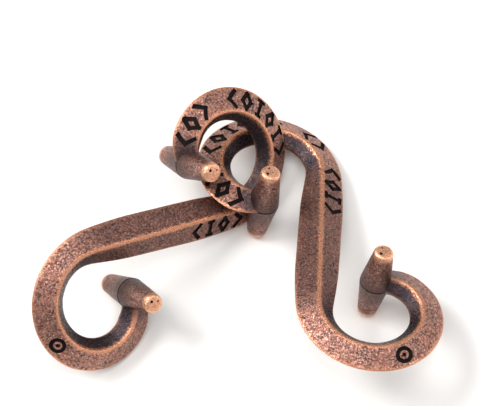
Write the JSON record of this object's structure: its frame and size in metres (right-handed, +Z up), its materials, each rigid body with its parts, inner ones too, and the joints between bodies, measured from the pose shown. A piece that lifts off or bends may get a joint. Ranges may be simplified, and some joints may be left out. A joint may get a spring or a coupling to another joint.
{
  "type": "metal ring disentanglement puzzle",
  "caption": "Two linked S-shaped cast metal hooks, each with an open ring and a cross peg at both ends, lying on a table as a take-apart puzzle.",
  "frame": {"origin": "bottom centre of the resting pair, on the table that both hooks lie on", "axes": "+X from the left hook towards the right hook, +Y away from a person looking at the pair, +Z up"},
  "size_m": [0.0974, 0.073, 0.0277],
  "materials": {
    "antique_copper": "antique copper plating on a zinc alloy casting, dark in the recesses and worn bright on the ridges"
  },
  "bodies": {
    "right_hook": {"right_hook": "antique_copper"},
    "left_hook": {"left_hook": "antique_copper"}
  },
  "joints": [
    {"name": "ring_slide", "type": "hinge", "parent": "right_hook", "child": "left_hook", "pos_m": [0.00671, 0.02032, 0.00807], "axis": [-0.2358, -0.2943, -0.9262], "range_deg": [0, 130]}
  ]
}
